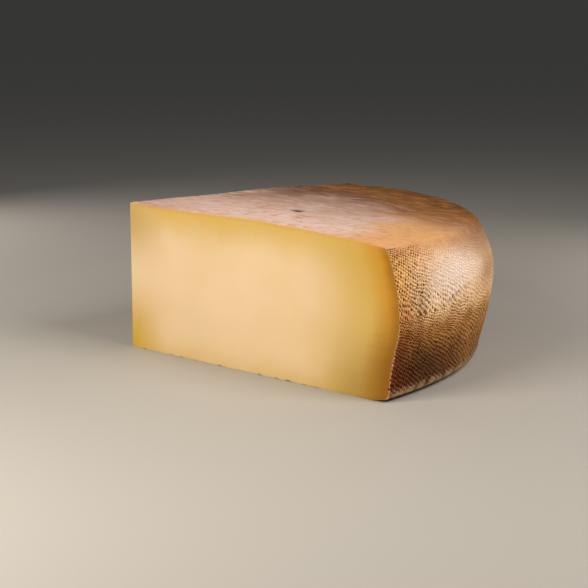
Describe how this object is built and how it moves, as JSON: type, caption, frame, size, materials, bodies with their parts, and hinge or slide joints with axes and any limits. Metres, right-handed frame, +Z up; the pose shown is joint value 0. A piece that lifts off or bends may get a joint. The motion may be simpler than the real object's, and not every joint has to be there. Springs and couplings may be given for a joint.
{
  "type": "cheese wedge",
  "caption": "Quarter of a semi-hard cheese wheel, lying on its flat base, with two flat cuts, a bloomed top rind and a bulging heel marked by cheesecloth.",
  "frame": {"origin": "middle of the wedge's footprint box, on the face that it rests on", "axes": "+Z up along the wheel's axis. +X from the tip, where the two cuts meet, towards the heel. +Y across the wedge, from the first cut to the second"},
  "size_m": [0.185, 0.2546, 0.075],
  "materials": {
    "cheese": "smooth, slightly moist cut paste, with a dry washed rind on the top, heel and underside"
  },
  "bodies": {
    "root": {"cheese_quarter": "cheese"}
  },
  "joints": []
}
